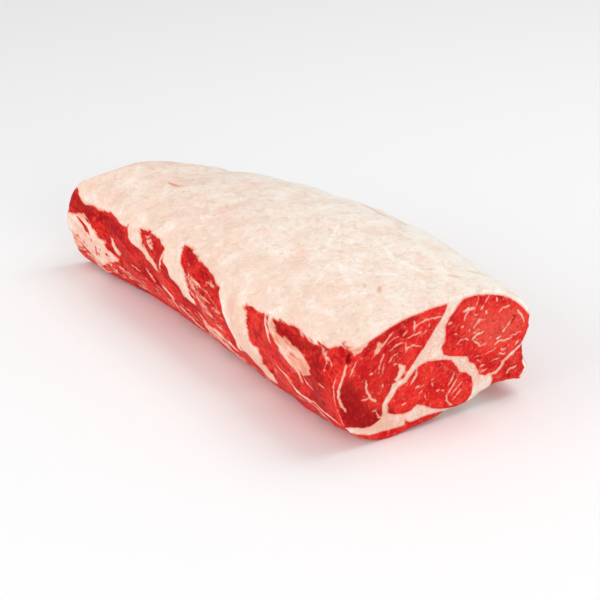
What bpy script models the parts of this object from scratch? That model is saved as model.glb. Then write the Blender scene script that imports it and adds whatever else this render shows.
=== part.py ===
"""A whole raw beef striploin: a long block of meat, cut square at the near end (+X).

Every muscle and every layer of fat runs the full length of the block.  The cut
end is drawn once, as curves in its own plane (across, up), and each station
along the block carries that drawing to its own width, height and slant, so the
pieces share their borders everywhere.  Sizes in the drawing are millimetres;
the meshes are in metres, +Z up, and the block lies on its flat underside.
"""
import math

import bmesh
import bpy
from mathutils import Vector

MM = 0.001

# ---- driving dimensions, in millimetres -------------------------------------
LENGTH = 430.0
STATION_COUNT = 25
GAP = 0.3                # clear space between two neighbouring pieces
CURVE_STEPS = 8          # subdivisions of each span of a drawn curve

CAP_DEPTH = 4.0          # thickness of the fat over the top
CAP_TAPER = 10.0         # the cap thins to its edge over this distance
CAP_EDGE = 58.0          # its lower edge, measured up the left side
CAP_EDGE_LIFT = 14.0     # how much higher that edge runs at the two ends
CAP_EDGE_REACH = 45.0    # length of each rise
WEDGE_LEFT = 10.0        # the fat wedge meets the cap between these two
WEDGE_RIGHT = 25.0       # places, measured across

# Tongues of the cap that hang down the left side: centre along the block,
# half width, and how far down they hang.
CAP_TONGUES = ((115.0, 22.0, 16.0), (186.0, 16.0, 22.0), (292.0, 26.0, 24.0))

# Stations along the block: place (0 far end, 1 cut face), then the factors on
# left width, right width, left height and right height, the shift of the left
# foot, and the slant of the section in plan.
PROFILE = (
    (0.00, 0.950, 0.84, 0.96, 0.79, -9.0, 0.39),
    (0.10, 0.940, 0.93, 0.93, 0.85, -8.0, 0.31),
    (0.25, 0.915, 0.98, 0.96, 0.93, -1.0, 0.15),
    (0.45, 0.920, 1.03, 0.99, 1.01, 1.0, 0.01),
    (0.65, 0.945, 1.07, 1.00, 1.09, 1.0, 0.00),
    (0.85, 0.965, 1.04, 1.01, 1.07, 0.0, 0.00),
    (1.00, 1.000, 1.00, 1.00, 1.00, 0.0, 0.00),
)
LEFT_EDGE = -95.0        # the slant turns about this line

# The underside is pressed flat behind the cut face.
PRESS_HEIGHT = 40.0      # nothing above this height is moved by it
PRESS_REACH = 60.0       # it takes this length to reach its full depth
PRESS_DEPTH = 0.6

# Lumps on the left side and on the cap: height, wavelength along the block,
# wavelength up the side or across, and phase.
SIDE_LUMPS = ((1.6, 62.0, 105.0, 0.4), (0.9, 31.0, 44.0, 2.1))
CAP_LUMPS = ((0.9, 95.0, 120.0, 1.0), (0.5, 47.0, 66.0, 3.2))

# ---- the cut face, as (across, up) ------------------------------------------
# The outer outline, clockwise from the lower left, in pieces that end where
# two regions meet at the surface.
UPPER = ((-83, 21), (-91, 38), (-95, 56), (-92, 66), (-87, 75), (-78, 84), (-66, 90),
         (-55, 94), (-44, 98), (-30, 101.5), (-6, 103.5), (20, 104.3), (40, 103.5),
         (54, 100.5), (68, 95.5), (81, 87), (91, 77), (94.5, 68))
EYE_SIDE = ((94.5, 68), (93, 54), (88.5, 45), (89.5, 35), (94, 27), (95, 20), (88, 14),
            (70, 16), (57, 16))
RIGHT_FOOT = ((57, 16), (44, 13), (33, 9))
CENTRE_FOOT = ((33, 9), (21, 8))
MIDDLE_FOOT = ((21, 8), (11, 7.5))
STRIP_FOOT = ((11, 7.5), (-1, 4), (-19, 3), (-29, 1.5), (-38, 0), (-49, 1), (-58, 4),
              (-70, 9), (-77, 14))
LEFT_FOOT = ((-77, 14), (-83, 21))

# Borders between regions inside the outline.
SIDE_EDGE = ((7, 91), (0, 83), (-9, 71), (-19, 60), (-25, 53), (-31, 47.5), (-38.5, 48),
             (-41.5, 41), (-47, 34.5), (-49, 28), (-47.5, 21.5), (-56, 17.5), (-64, 16.5),
             (-75, 20.5))
EYE_EDGE = ((19, 93), (12.5, 87), (9, 80), (10.5, 72), (6.5, 64), (9, 57.5), (15.5, 54.5),
            (26, 51.5), (32, 49.5), (35.5, 42.5), (41, 40.5), (43, 34), (47, 29), (58, 26.5),
            (57.5, 20))
CENTRE_EDGE = ((37, 15), (38.5, 23), (36.5, 31.5), (31, 36), (26, 36), (23, 42), (20, 47.5),
               (14, 52), (3, 54.5), (-7, 56), (-15.5, 54.5), (-22.5, 48), (-28.5, 43),
               (-36, 41.5), (-38.5, 35), (-44, 29.5), (-42.5, 22.5), (-32, 18.5), (-22, 18),
               (-18, 22.5), (-11, 20.5), (-1, 14.5), (10, 10.5))
STRIP_EDGE = ((4, 9.3), (-6, 9.6), (-20, 8.8), (-32, 7.5), (-47, 8.5), (-61, 9), (-70, 12.5))

# Straight segments along each border piece.
SEGMENTS = {
    "left_side": 9, "top": 22, "eye_side": 12, "right_foot": 4, "centre_foot": 2,
    "middle_foot": 1, "strip_foot": 9, "left_foot": 1, "cap_left": 12, "bridge": 2,
    "cap_right": 10, "side_edge": 24, "eye_edge": 20, "centre_edge": 26, "strip_edge": 10,
}

# Each node's section: its border pieces in order, "-" for a piece run backwards.
REGIONS = {
    "fat_cap": ("top", "-cap_right", "-bridge", "-cap_left"),
    "eye_muscle": ("eye_side", "-eye_edge", "cap_right"),
    "side_muscle": ("left_side", "cap_left", "side_edge"),
    "centre_muscle": ("centre_foot", "-centre_edge"),
    "bottom_strip": ("strip_foot", "-strip_edge"),
    "seam_fat": ("bridge", "eye_edge", "right_foot", "centre_edge", "middle_foot",
                 "strip_edge", "left_foot", "-side_edge"),
}

# Finish of each node: linear colour and roughness.
FAT = ((0.91, 0.74, 0.62), 0.42)
LEAN = ((0.60, 0.035, 0.03), 0.35)
DARK_LEAN = ((0.38, 0.015, 0.02), 0.35)
FINISHES = {
    "fat_cap": FAT, "seam_fat": FAT, "eye_muscle": LEAN, "centre_muscle": LEAN,
    "side_muscle": DARK_LEAN, "bottom_strip": LEAN,
}


def ease(t):
    """Rise smoothly from 0 to 1 as t does, level outside that range."""
    t = min(max(t, 0.0), 1.0)
    return t * t * (3.0 - 2.0 * t)


def curve_through(points, closed=False):
    """Smooth curve through the points, CURVE_STEPS points to each span."""
    points = [Vector(point) for point in points]
    count = len(points)
    spans = count if closed else count - 1
    curve = []
    for i in range(spans):
        if closed:
            a, b, c, d = (points[(i + k) % count] for k in (-1, 0, 1, 2))
        else:
            a, b, c, d = (points[min(max(i + k, 0), count - 1)] for k in (-1, 0, 1, 2))
        for step in range(CURVE_STEPS):
            t = step / CURVE_STEPS
            curve.append(0.5 * (2.0 * b + (c - a) * t + (2.0 * a - 5.0 * b + 4.0 * c - d) * t ** 2
                                + (3.0 * b - a - 3.0 * c + d) * t ** 3))
    if not closed:
        curve.append(points[-1])
    return curve


class Path:
    """A polyline that can be read by the distance along it."""

    def __init__(self, points):
        self.points = points
        self.marks = [0.0]
        for a, b in zip(points, points[1:]):
            self.marks.append(self.marks[-1] + (b - a).length)
        self.length = self.marks[-1]

    def at(self, distance):
        distance = min(max(distance, 0.0), self.length)
        i = 0
        while i < len(self.marks) - 2 and self.marks[i + 1] < distance:
            i += 1
        span = self.marks[i + 1] - self.marks[i]
        return self.points[i].lerp(self.points[i + 1], (distance - self.marks[i]) / span)

    def inward(self, distance):
        """Unit normal to the right of the run: into the block on the outline."""
        run = self.at(distance + 1.0) - self.at(distance - 1.0)
        return Vector((run.y, -run.x)).normalized()

    def sample(self, segments, start=0.0, end=None):
        end = self.length if end is None else end
        return [self.at(start + (end - start) * i / segments) for i in range(segments + 1)]

    def where_across(self, across):
        """Distance along the path at which it first passes this place across."""
        for i, point in enumerate(self.points):
            if point.x > across:
                return self.marks[i]
        return self.length


def outline_paths():
    """Cut the closed outline curve into its named pieces."""
    pieces = (("upper", UPPER), ("eye_side", EYE_SIDE), ("right_foot", RIGHT_FOOT),
              ("centre_foot", CENTRE_FOOT), ("middle_foot", MIDDLE_FOOT),
              ("strip_foot", STRIP_FOOT), ("left_foot", LEFT_FOOT))
    knots = [point for _, piece in pieces for point in piece[:-1]]
    curve = curve_through(knots, closed=True)
    curve.append(curve[0])
    paths = {}
    start = 0
    for name, piece in pieces:
        end = start + (len(piece) - 1) * CURVE_STEPS
        paths[name] = Path(curve[start:end + 1])
        start = end
    return paths


def cap_edge(along):
    """Distance of the cap's lower edge up the left side, at this length."""
    from_end = min(along, LENGTH - along)
    edge = CAP_EDGE + CAP_EDGE_LIFT * (1.0 - ease(from_end / CAP_EDGE_REACH))
    for centre, half_width, hang in CAP_TONGUES:
        edge -= hang * (1.0 - ease(abs(along - centre) / half_width))
    return edge


def under_cap(upper, distance, edge):
    """Point on the cap's underside, below this distance along the outline."""
    from_edge = min(distance - edge, upper.length - distance)
    taper = math.sin(0.5 * math.pi * min(max(from_edge / CAP_TAPER, 0.0), 1.0))
    return upper.at(distance) + upper.inward(distance) * (CAP_DEPTH * taper)


def section_borders(outline, along):
    """All border pieces of the cut-face drawing, as lists of points."""
    upper = outline["upper"]
    edge = cap_edge(along)
    left, right = upper.where_across(WEDGE_LEFT), upper.where_across(WEDGE_RIGHT)

    def underside(name, start, end):
        segments = SEGMENTS[name]
        steps = (start + (end - start) * i / segments for i in range(segments + 1))
        return [under_cap(upper, distance, edge) for distance in steps]

    borders = {
        "left_side": upper.sample(SEGMENTS["left_side"], 0.0, edge),
        "top": upper.sample(SEGMENTS["top"], edge, upper.length),
        "cap_left": underside("cap_left", edge, left),
        "bridge": underside("bridge", left, right),
        "cap_right": underside("cap_right", right, upper.length),
    }
    for name in ("eye_side", "right_foot", "centre_foot", "middle_foot", "strip_foot",
                 "left_foot"):
        borders[name] = outline[name].sample(SEGMENTS[name])
    inner = {
        "side_edge": (borders["bridge"][0], SIDE_EDGE, LEFT_FOOT[-1]),
        "eye_edge": (borders["bridge"][-1], EYE_EDGE, RIGHT_FOOT[0]),
        "centre_edge": (RIGHT_FOOT[-1], CENTRE_EDGE, MIDDLE_FOOT[0]),
        "strip_edge": (MIDDLE_FOOT[-1], STRIP_EDGE, LEFT_FOOT[0]),
    }
    for name, (first, middle, last) in inner.items():
        path = Path(curve_through((first, *middle, last)))
        borders[name] = path.sample(SEGMENTS[name])
    return borders


def region_loop(borders, pieces):
    """Closed loop of one region, drawn in from its borders by half the gap.

    Returns the points and, for each edge, whether its border runs backwards.
    """
    loop, backwards = [], []
    for piece in pieces:
        reverse = piece.startswith("-")
        points = borders[piece.lstrip("-")]
        if reverse:
            points = points[::-1]
        loop.extend(points[:-1])
        backwards.extend([reverse] * (len(points) - 1))
    inset = []
    for i, point in enumerate(loop):
        before = (point - loop[i - 1]).normalized()
        after = (loop[(i + 1) % len(loop)] - point).normalized()
        turn = max(1.0 + before.dot(after), 0.5)
        side = Vector((before.y + after.y, -before.x - after.x)) / turn
        inset.append(point + side * (0.5 * GAP))
    return inset, backwards


def profile_at(place):
    """Read PROFILE at a place between 0 and 1, with a smooth curve through it."""
    last = len(PROFILE) - 1
    i = max(k for k in range(last) if PROFILE[k][0] <= place)
    low, high = PROFILE[i], PROFILE[i + 1]
    span = high[0] - low[0]
    t = (place - low[0]) / span

    def slope(k, column):
        a, b = PROFILE[max(k - 1, 0)], PROFILE[min(k + 1, last)]
        return (b[column] - a[column]) / (b[0] - a[0])

    values = []
    for column in range(1, len(low)):
        values.append((2 * t ** 3 - 3 * t ** 2 + 1) * low[column]
                      + (t ** 3 - 2 * t ** 2 + t) * span * slope(i, column)
                      + (3 * t ** 2 - 2 * t ** 3) * high[column]
                      + (t ** 3 - t ** 2) * span * slope(i + 1, column))
    return values


def foot_height(across, foot_line):
    """Height of the drawn underside at this place across."""
    for (x0, z0), (x1, z1) in zip(foot_line, foot_line[1:]):
        if across <= x1:
            return z0 + (z1 - z0) * max(across - x0, 0.0) / (x1 - x0)
    return foot_line[-1][1]


def foot_line():
    """The drawn underside from left to right, levelled off at both sides."""
    drawn = list(RIGHT_FOOT) + [CENTRE_FOOT[-1]] + list(STRIP_FOOT[:-2])
    return [(LEFT_EDGE, 8.0), (-70.0, 8.0)] + sorted(drawn) + [(70.0, 15.0), (-LEFT_EDGE, 10.0)]


def lumps(waves, along, other):
    return sum(height * math.sin(2.0 * math.pi * (along / length + other / width) + phase)
               for height, length, width, phase in waves)


def carry(point, along, base):
    """Take a point of the drawing to its place at a station along the block."""
    across, up = point
    left, right, left_up, right_up, foot_shift, slant = profile_at(along / LENGTH)
    to_right = ease((across + 40.0) / 90.0)
    foot = foot_shift * max(1.0 - up / PRESS_HEIGHT / 1.5, 0.0) * (1.0 - to_right)
    y = across * (left + (right - left) * to_right) + foot
    z = up * (left_up + (right_up - left_up) * ease((across + 60.0) / 130.0))
    if z < PRESS_HEIGHT:
        floor = foot_height(across, base)
        pressed = PRESS_HEIGHT * (z - floor) / (PRESS_HEIGHT - floor)
        z += (pressed - z) * ease((LENGTH - along) / PRESS_REACH)
    z = max(z - PRESS_DEPTH, 0.0)
    raised = ease(up / PRESS_HEIGHT) * ease((LENGTH - along) / PRESS_REACH)
    y -= lumps(SIDE_LUMPS, along, up) * ease((-40.0 - across) / 45.0) * raised
    z += lumps(CAP_LUMPS, along, across) * ease((up - 60.0) / 30.0) * raised
    x = along - 0.5 * LENGTH + slant * (y - LEFT_EDGE)
    return Vector((x, y, z))


def station_places():
    """Distances of the stations along the block, closer together at its ends."""
    last = STATION_COUNT - 1
    even = [i / last for i in range(STATION_COUNT)]
    return [LENGTH * (t - 0.06 * math.sin(2.0 * math.pi * t)) for t in even]


def skin(name, rings, backwards):
    """Closed mesh over rings of points, capped at both ends.

    Each quad is cut along the same diagonal as its neighbour's across the gap.
    """
    mesh = bpy.data.meshes.new(name)
    bm = bmesh.new()
    rows = [[bm.verts.new(point * MM) for point in ring] for ring in rings]
    count = len(rows[0])
    for row, following in zip(rows, rows[1:]):
        for i in range(count):
            a, b = row[i], row[(i + 1) % count]
            c, d = following[(i + 1) % count], following[i]
            if backwards[i]:
                bm.faces.new((a, b, d))
                bm.faces.new((b, c, d))
            else:
                bm.faces.new((a, b, c))
                bm.faces.new((a, c, d))
    ends = [bm.faces.new(reversed(rows[0])), bm.faces.new(rows[-1])]
    bm.normal_update()
    bmesh.ops.triangulate(bm, faces=ends)
    bmesh.ops.recalc_face_normals(bm, faces=bm.faces)
    bm.to_mesh(mesh)
    bm.free()
    mesh.shade_smooth()
    mesh.set_sharp_from_angle(angle=math.radians(35.0))
    piece = bpy.data.objects.new(name, mesh)
    bpy.context.scene.collection.objects.link(piece)
    return piece


def material(name, colour, roughness):
    finish = bpy.data.materials.new(name)
    finish.use_nodes = True
    shader = finish.node_tree.nodes["Principled BSDF"]
    shader.inputs["Base Color"].default_value = (*colour, 1.0)
    shader.inputs["Roughness"].default_value = roughness
    shader.inputs["Metallic"].default_value = 0.0
    return finish


def centre_on_origin(pieces):
    """Shift the meshes so that the whole block's box stands centred on the origin."""
    points = [vertex.co for piece in pieces for vertex in piece.data.vertices]
    low = Vector([min(point[axis] for point in points) for axis in range(3)])
    high = Vector([max(point[axis] for point in points) for axis in range(3)])
    shift = Vector((-(low.x + high.x) / 2.0, -(low.y + high.y) / 2.0, -low.z))
    for piece in pieces:
        for vertex in piece.data.vertices:
            vertex.co += shift


def main():
    for old in list(bpy.data.objects):
        bpy.data.objects.remove(old)
    outline = outline_paths()
    base = foot_line()
    stations = [(along, section_borders(outline, along)) for along in station_places()]
    pieces = []
    for name, borders in REGIONS.items():
        rings = []
        for along, drawing in stations:
            loop, backwards = region_loop(drawing, borders)
            rings.append([carry(point, along, base) for point in loop])
        piece = skin(name, rings, backwards)
        piece.data.materials.append(material(name + "_finish", *FINISHES[name]))
        pieces.append(piece)
    centre_on_origin(pieces)


main()
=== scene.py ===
"""A whole raw beef striploin, dressed over its solids: fat, lean, marbling and studio.

Each solid is copied, merged and refined, then given a skin relief and painted attributes:
"fat" is the distance in millimetres into the fat (above 0) or into the lean (below 0),
"tone" runs from dark lean (-1) to pale lean (1), its darkest parts in places painted shade
(under the cap's edge on the left side, in holes on the cut face), "cut" is 1 on a cut face,
and "seam" is 1 there well inside its rim. Drawn lines and patches are in millimetres, as
(along, up) on the left side and as (across, up) on the cut faces.
"""
import math

import bmesh
import bpy
import numpy as np
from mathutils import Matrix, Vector
from mathutils.geometry import delaunay_2d_cdt
from mathutils.kdtree import KDTree


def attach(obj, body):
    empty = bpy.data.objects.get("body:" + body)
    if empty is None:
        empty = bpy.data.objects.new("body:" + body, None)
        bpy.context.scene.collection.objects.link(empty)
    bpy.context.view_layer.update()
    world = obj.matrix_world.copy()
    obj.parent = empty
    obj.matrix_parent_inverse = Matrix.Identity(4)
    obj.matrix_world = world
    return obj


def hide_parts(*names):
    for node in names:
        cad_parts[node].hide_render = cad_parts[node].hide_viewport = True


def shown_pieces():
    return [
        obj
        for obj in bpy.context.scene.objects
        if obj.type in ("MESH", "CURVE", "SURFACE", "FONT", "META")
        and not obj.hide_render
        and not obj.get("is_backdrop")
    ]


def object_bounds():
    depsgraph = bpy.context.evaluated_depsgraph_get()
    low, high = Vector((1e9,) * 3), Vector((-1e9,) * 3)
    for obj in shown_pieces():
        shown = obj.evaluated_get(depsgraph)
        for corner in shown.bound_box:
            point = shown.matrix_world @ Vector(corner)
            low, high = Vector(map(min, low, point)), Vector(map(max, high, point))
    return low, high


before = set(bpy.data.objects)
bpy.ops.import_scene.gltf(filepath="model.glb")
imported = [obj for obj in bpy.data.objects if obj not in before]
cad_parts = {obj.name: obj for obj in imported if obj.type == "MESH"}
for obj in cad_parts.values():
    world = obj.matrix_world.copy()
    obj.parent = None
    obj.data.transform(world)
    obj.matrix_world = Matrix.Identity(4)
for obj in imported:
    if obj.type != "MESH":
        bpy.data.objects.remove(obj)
CAD_BOX = [list(corner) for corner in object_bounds()]

bl_info = {
    "name": "Beef Striploin",
    "version": (1, 0, 0),
    "blender": (4, 5, 0),
    "location": "View3D > Sidebar > Striploin",
    "description": "Dresses the solids of a raw beef striploin as fat, lean and marbling",
    "category": "Mesh",
}

MM = 0.001
END = CAD_BOX[1][0] / MM        # the near cut face stands at this place along the block
FAR_AT, FAR_SLANT = -177.37, 0.39           # the far one at FAR_AT + FAR_SLANT * across
FACE_LOW, FACE_HIGH = (-98.0, 0.0), (95.0, 104.0)       # the near face, across and up
FAR_LOW, FAR_HIGH = (-94.7, 0.0), (76.2, 94.2)          # the far face
FAR_CORNER = (-208.0, -88.0, 66.0)          # left corner of the far end
FAR_CORNER_PUSH = (-3.8, -3.2, 0.5)         # how far it stands out
DEEP = 8.0                      # the painted distances go no further than this
SAME = 0.01                     # places closer than this are one
GAP = 0.55                      # widest hairline gap between two solids that is closed
ON_END = 0.05                   # points this near to an end belong to it
HALF_WIDTH, HALF_HEIGHT, MIDDLE = 97.0, 54.0, 52.0      # the block, across and up
ALL_CAP = 100.0                 # nothing but the cap is higher than this
SIDE_THIN, FACE_THIN = 0.7, 0.35        # depth of thin fat, which lets the lean show through
WEB_SHARE = 0.5                 # how much of the fine marbling shows
TRIANGLE = 0.866                # height of a triangle with even sides of 1
TINY = 1e-9                     # keeps a division from failing

FLOOR_SIZE = 8.0                # metres
AIR_LIGHT = 0.58                # strength of the light from all around
LIGHTS = (                      # name, place in metres, size in metres, watts
    ("key_light", (0.2, 1.0, 1.9), 1.4, 14.2),
    ("front_light", (1.9, -0.3, 0.7), 1.0, 10.0),
    ("fill_light", (-0.2, -1.75, 0.62), 1.5, 14.5),
)
LIT_PLACE = (0.0, 0.0, 0.05)    # where the lights point

FAT_NODES = ("fat_cap", "seam_fat")
LEAN_NODES = ("eye_muscle", "side_muscle", "centre_muscle", "bottom_strip")
NODES = FAT_NODES + LEAN_NODES


# ---- the left side, as (along, up) ------------------------------------------
# Patches, each over the ones before: (what it is, outline).
LEFT_PATCHES = (
    # the cap, down to its edge
    ("fat", ((-210, 72), (-205, 73), (-188, 65), (-176, 68), (-165, 67), (-151, 69), (-137, 68),
        (-115, 67), (-115, 70), (-102, 71), (-86, 73), (-67, 73), (-54, 71), (-44, 74), (-34, 77),
        (-30, 80), (-23, 80), (-13, 78), (9, 76), (35, 70), (64, 72), (80, 71), (100, 71),
        (105, 73), (118, 75), (129, 76), (136, 75), (144, 77), (157, 75), (172, 76), (176, 74),
        (179, 78), (190, 78), (194, 79), (202, 84), (212, 84), (235, 84), (235, 150), (-235, 150),
        (-235, 72))),
    # cream patch at the far end
    ("fat", ((-218, 52), (-206, 52), (-195, 55), (-186, 58), (-179, 54), (-168, 52), (-160, 48),
        (-157, 44), (-146, 44), (-150, 41), (-143, 37), (-136, 33), (-135, 28), (-152, 21),
        (-166, 13), (-178, 7), (-186, 10), (-191, 17), (-196, 22), (-201, 27), (-207, 29),
        (-218, 31))),
    # lean at the far corner
    ("lean", ((-210, 72), (-204, 71), (-194, 68), (-188, 64), (-173, 66), (-165, 65), (-179, 60),
        (-203, 52), (-218, 50), (-218, 72))),
    # lenses of lean and tongues of fat, from the far end on
    ("lean", ((-168, 65), (-151, 69), (-137, 68), (-116, 67), (-110, 59), (-106, 57), (-91, 56),
        (-79, 54), (-71, 51), (-59, 46), (-64, 33), (-82, 30), (-93, 34), (-110, 35), (-135, 30),
        (-143, 36), (-151, 40), (-148, 44), (-158, 44), (-163, 50), (-178, 54), (-188, 58),
        (-203, 52))),
    ("fat", ((-118, 76), (-98, 78), (-97, 69), (-90, 62), (-80, 61), (-70, 58), (-61, 55),
        (-53, 49), (-62, 49), (-72, 52), (-83, 56), (-95, 57), (-104, 58), (-110, 62))),
    ("lean", ((-101, 71), (-86, 73), (-67, 73), (-54, 71), (-54, 65), (-56, 58), (-53, 52),
        (-61, 55), (-70, 58), (-80, 61), (-90, 62), (-97, 69))),
    ("fat", ((-55, 80), (-30, 84), (-29, 75), (-25, 67), (-10, 60), (3, 50), (6, 41), (-3, 40),
        (-16, 41), (-20, 45), (-30, 48), (-36, 50), (-42, 58), (-47, 61), (-50, 67))),
    ("lean", ((-30, 80), (-13, 78), (9, 76), (26, 72), (35, 70), (42, 67), (47, 63), (51, 57),
        (55, 51), (56, 43), (59, 36), (61, 28), (64, 23), (55, 23), (44, 26), (34, 31), (27, 38),
        (25, 45), (21, 53), (14, 59), (5, 63), (-7, 66), (-15, 70), (-22, 74), (-33, 78))),
    ("fat", ((38, 78), (60, 80), (82, 78), (84, 66), (90, 55), (93, 46), (104, 44), (105, 37),
        (103, 27), (110, 24), (114, 20), (118, 13), (103, 12), (97, 19), (90, 26), (79, 29),
        (66, 24), (63, 30), (59, 36), (56, 43), (55, 51), (51, 57), (47, 63), (42, 67))),
    ("lean", ((79, 71), (100, 71), (106, 68), (115, 64), (122, 59), (128, 55), (127, 46),
        (132, 41), (134, 35), (146, 36), (152, 34), (156, 30), (157, 23), (137, 18), (118, 13),
        (114, 20), (110, 24), (103, 27), (105, 37), (104, 44), (93, 46), (90, 55), (85, 64))),
    ("lean", ((120, 75), (129, 76), (144, 77), (157, 75), (172, 76), (183, 76), (183, 66),
        (161, 60), (143, 62), (137, 65), (127, 70))),
    # cleft in the cream patch, and a small one beside it
    ("lean", ((-197, 52), (-187, 51), (-180, 49), (-174, 46), (-171, 41), (-177, 43), (-182, 43),
        (-185, 46), (-191, 48))),
    ("fat", ((-139, 52), (-134, 51), (-131, 44), (-123, 40), (-132, 34), (-135, 38), (-138, 44))),
    # fat so thin that the lean shows through
    ("thin", ((-211, 36), (-207, 29), (-202, 27), (-196, 22), (-193, 18), (-201, 17), (-211, 16))),
    ("thin", ((113, 75), (118, 76), (127, 71), (138, 68), (149, 67), (161, 67), (170, 65),
        (180, 62), (185, 56), (170, 47), (163, 49), (157, 50), (150, 53), (143, 57), (135, 61),
        (125, 66), (116, 70))),
    ("thin", ((-90, 68), (-80, 69), (-71, 68), (-68, 64), (-76, 64), (-84, 65))),
    ("thin", ((2, 25), (14, 25), (34, 20), (54, 13), (62, 6), (56, 6), (37, 10), (15, 16),
        (2, 19))),
)

# Lines: (half width, points).
SIDE_FAT_LINES = (
    (1.6, ((-192, 15), (-184, 9), (-174, 6), (-156, 9))),
    (0.9, ((-137, 30), (-134, 23), (-125, 21), (-117, 19))),
    (0.7, ((-150, 24), (-143, 17), (-136, 10))),
    (0.8, ((-106, 36), (-92, 36))),
    (1.2, ((-81, 42), (-79, 36), (-73, 32))),
    (1.0, ((-115, 11), (-102, 11))),
    (1.3, ((-52, 69), (-51, 63), (-51, 56), (-52, 50))),
    (1.0, ((-15, 70), (-6, 64), (6, 58), (15, 51), (16, 39))),
    (0.8, ((5, 63), (28, 61))),
    (0.6, ((18, 67), (33, 67))),
    (0.7, ((17, 55), (34, 55))),
    (0.6, ((36, 51), (41, 46))),
    (1.4, ((-59, 33), (-49, 33), (-42, 30), (-41, 24), (-37, 18))),
    (1.3, ((-33, 27), (-24, 23), (-18, 18), (-12, 13), (-5, 11))),
    (1.8, ((-1, 33), (8, 29), (14, 25), (26, 25), (38, 23), (50, 21), (60, 20))),
    (1.3, ((-7, 7), (11, 8), (29, 7))),
    (0.8, ((111, 42), (116, 40))),
    (1.5, ((107, 74), (112, 70), (119, 65), (127, 58))),
    (2.2, ((118, 74), (125, 70), (132, 64), (145, 58), (153, 56), (160, 52), (167, 42))),
    (1.2, ((128, 41), (139, 37), (153, 26), (176, 27), (196, 25), (214, 23))),
    (0.7, ((140, 38), (149, 35), (164, 26), (181, 19), (196, 14))),
    (0.5, ((161, 56), (167, 50), (175, 45), (184, 42))),
    (0.6, ((192, 76), (199, 71), (200, 65))),
    (0.3, ((176, 79), (189, 75), (201, 73), (210, 68))),
    (0.4, ((196, 54), (204, 54))),
    (0.6, ((-214, 82), (-209, 79), (-206, 74))),
    (0.5, ((-199, 76), (-193, 72), (-186, 70))),
)
SIDE_LEAN_LINES = (
    (0.9, ((-167, 34), (-168, 26))),
    (0.9, ((-203, 31), (-200, 29), (-196, 24), (-191, 19), (-185, 14), (-179, 9))),
    (2.5, ((-212, 12), (-199, 8), (-191, 5))),
    (1.6, ((-25, 67), (-18, 64), (-10, 60), (-2, 55), (1, 48), (6, 43), (9, 35), (8, 27))),
    (0.8, ((-48, 66), (-48, 60), (-48, 54))),
    (1.8, ((61, 25), (71, 18), (79, 16), (85, 7))),
    (1.5, ((137, 55), (142, 50), (149, 46), (156, 43), (166, 33))),
    (0.8, ((72, 32), (76, 28))),
    (0.8, ((86, 60), (92, 50), (94, 47))),
)
# Tone lines: (tone, half width, points). The dark bands just under the cap's edge, along the top
# of each lens of lean, are painted shade under the fat's lip.
SIDE_TONES_AND_SHADE = (
    (-0.28, 12.0, ((-205, 40), (-180, 36), (-145, 34))),
    (-0.6, 4.5, ((-209, 32), (-204, 22), (-197, 17))),
    (-0.22, 9.0, ((-200, 82), (-174, 84), (-150, 86))),
    (-0.35, 8.0, ((-108, 66), (-85, 58), (-60, 52))),
    (-0.25, 9.0, ((-38, 70), (-30, 58), (-10, 48))),
    (-0.4, 12.0, ((66, 66), (75, 50), (92, 32), (112, 16))),
    (-0.2, 9.0, ((120, 68), (135, 62), (150, 57))),
    (-0.6, 7.0, ((160, 58), (172, 54), (176, 50))),
    (-0.85, 9.0, ((-206, 64), (-190, 60), (-176, 62))),
    (-0.4, 14.0, ((-150, 55), (-120, 50), (-95, 45), (-72, 40))),
    (-0.75, 5.0, ((-165, 62), (-140, 62), (-118, 58))),
    (-0.7, 5.0, ((-125, 40), (-100, 34), (-80, 33))),
    (-0.8, 3.5, ((-196, 5), (-183, 3), (-168, 3), (-133, 2), (-102, 6))),
    (-0.35, 4.0, ((-98, 71), (-78, 71), (-60, 69), (-55, 60))),
    (0.35, 5.0, ((-87, 67), (-79, 66), (-72, 62))),
    (-0.55, 5.0, ((-24, 78), (-5, 75), (12, 73), (30, 69))),
    (-0.25, 7.0, ((0, 70), (30, 60), (48, 45), (58, 30))),
    (-0.6, 6.0, ((-51, 53), (-30, 46), (-14, 38), (1, 32), (4, 16))),
    (-0.9, 5.0, ((-72, 31), (-65, 25))),
    (-1.0, 3.0, ((-75, 25), (-66, 22))),
    (0.1, 8.0, ((-75, 22), (-61, 19), (-51, 15))),
    (-0.7, 3.0, ((-41, 13), (-36, 7), (-15, 8))),
    (-0.8, 2.5, ((9, 8), (19, 6), (32, 6))),
    (0.35, 6.0, ((85, 69), (100, 64), (98, 50), (116, 45), (120, 32), (135, 28), (150, 28))),
    (-0.85, 5.0, ((122, 73), (136, 69), (145, 68), (156, 68), (178, 72))),
    (-0.7, 15.0, ((182, 62), (192, 50), (186, 32))),
    (-0.8, 5.0, ((186, 70), (197, 60))),
    (-1.0, 5.0, ((168, 58), (177, 52))),
    (0.25, 4.0, ((151, 15), (162, 9), (194, 13))),
    (0.7, 7.0, ((14, 38), (31, 33), (44, 28))),
    (0.6, 5.0, ((112, 34), (122, 31), (135, 26))),
)

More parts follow.
